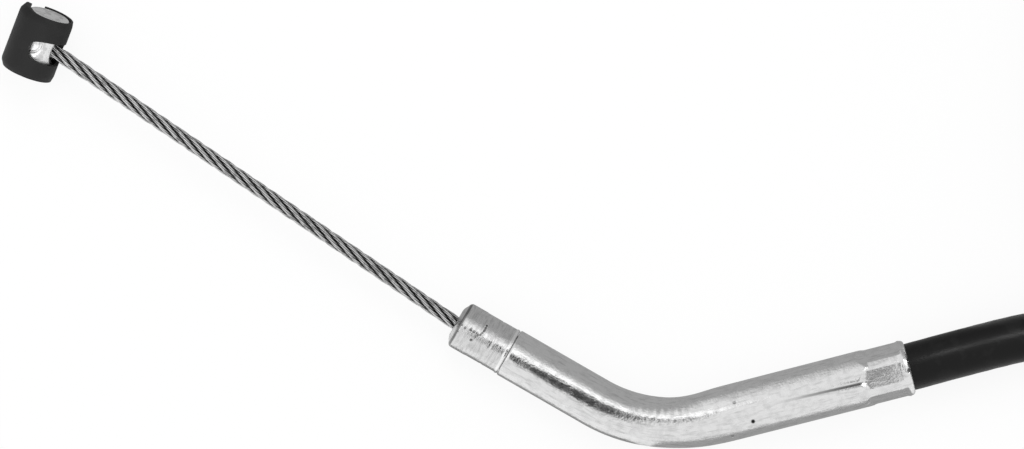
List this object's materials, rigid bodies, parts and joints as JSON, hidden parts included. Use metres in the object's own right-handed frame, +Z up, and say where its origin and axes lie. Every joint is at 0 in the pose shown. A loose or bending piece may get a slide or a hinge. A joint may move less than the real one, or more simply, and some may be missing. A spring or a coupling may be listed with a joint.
{
  "type": "motorcycle clutch cable",
  "caption": "Clutch cable: sleeved nipple on a wire rope, bent steel elbow crimped to a black casing, casing coiled, straight ferrule and nipple at its far end.",
  "frame": {"origin": "on the surface the cable lies on, under the middle of the nipple, wire end and elbow's common box", "axes": "+X from the nipple towards the casing, +Z up from the surface, as the picture looks down -Z"},
  "size_m": [0.2903, 0.113, 0.0186],
  "materials": {
    "plated_steel": "bright zinc plate, lightly scuffed",
    "wire_steel": "drawn steel strands, lightly oiled",
    "nipple_zinc": "cast zinc, mottled",
    "sleeve_plastic": "matte moulded",
    "jacket_pvc": "satin extruded",
    "winding_steel": "plain wound steel",
    "liner_plastic": "smooth",
    "tie_nylon": "satin moulded"
  },
  "bodies": {
    "casing": {"elbow_end_cap": "plated_steel", "elbow_tube": "plated_steel", "casing_jacket": "jacket_pvc", "casing_winding": "winding_steel", "casing_liner": "liner_plastic", "inner_wire": "wire_steel", "casing_coil": "jacket_pvc", "coil_tie_1": "tie_nylon", "coil_tie_2": "tie_nylon", "casing_jacket_out": "jacket_pvc", "casing_winding_out": "winding_steel", "casing_liner_out": "liner_plastic", "inner_wire_out": "wire_steel", "far_ferrule": "plated_steel"},
    "wire": {"wire_end": "wire_steel", "nipple_barrel": "nipple_zinc"},
    "sleeve": {"nipple_sleeve": "sleeve_plastic"},
    "far_end_wire": {"far_wire": "wire_steel", "far_nipple": "nipple_zinc"}
  },
  "joints": [
    {"name": "wire_slide", "type": "slide", "parent": "casing", "child": "wire", "axis": [-0.8277, 0.561, 0.013], "range_m": [-0.01, 0.012]},
    {"name": "sleeve_turn", "type": "hinge", "parent": "wire", "child": "sleeve", "pos_m": [-0.07207, 0.03092, 0.00601], "axis": [0.3546, 0.9049, 0.2351], "range_deg": [-3, 78]},
    {"name": "far_wire_slide", "type": "slide", "parent": "casing", "child": "far_end_wire", "axis": [-1, 0, 0], "range_m": [-0.012, 0.01]}
  ],
  "couplings": [
    {"joint": "far_wire_slide", "follows": "wire_slide", "ratio": -1}
  ]
}
